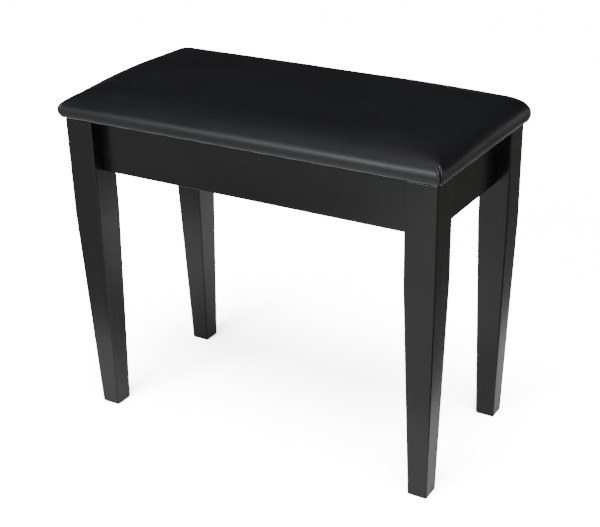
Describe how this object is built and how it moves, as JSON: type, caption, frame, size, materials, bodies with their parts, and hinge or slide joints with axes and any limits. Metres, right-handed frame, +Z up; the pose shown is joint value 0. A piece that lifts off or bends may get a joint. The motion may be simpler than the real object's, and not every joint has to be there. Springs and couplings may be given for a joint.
{
  "type": "piano bench",
  "caption": "Single piano bench with a crowned vinyl seat on a black wooden frame of inset aprons and tapered square legs, held by corner brackets.",
  "frame": {"origin": "on the floor, under the centre of the bench", "axes": "+X to the right along the long front, -Y towards the front, +Z up"},
  "size_m": [0.578, 0.295, 0.493],
  "materials": {
    "vinyl": "smooth black vinyl, satin, with a fine grain",
    "foam": "open-cell foam",
    "plywood": "bare plywood",
    "staple_wire": "galvanised wire",
    "dust_cloth": "black non-woven cloth",
    "black_lacquer": "satin black lacquer over hardwood",
    "zinc_steel": "bright zinc plate",
    "bare_wood": "planed, unfinished"
  },
  "bodies": {
    "root": {"seat_cover": "vinyl", "seat_foam": "foam", "seat_board": "plywood", "cover_staples": "staple_wire", "dust_cover": "dust_cloth", "dust_staples": "staple_wire", "front_apron": "black_lacquer", "back_apron": "black_lacquer", "left_apron": "black_lacquer", "right_apron": "black_lacquer", "leg_front_left": "black_lacquer", "leg_front_right": "black_lacquer", "leg_back_left": "black_lacquer", "leg_back_right": "black_lacquer", "bracket_front_left": "zinc_steel", "bracket_front_right": "zinc_steel", "bracket_back_left": "zinc_steel", "bracket_back_right": "zinc_steel", "bracket_screws": "zinc_steel", "hanger_bolts": "zinc_steel", "washers": "zinc_steel", "wing_nuts": "zinc_steel", "front_cleat": "bare_wood", "back_cleat": "bare_wood", "cleat_screws": "zinc_steel", "seat_screws": "zinc_steel", "apron_dowels": "bare_wood"}
  },
  "joints": []
}
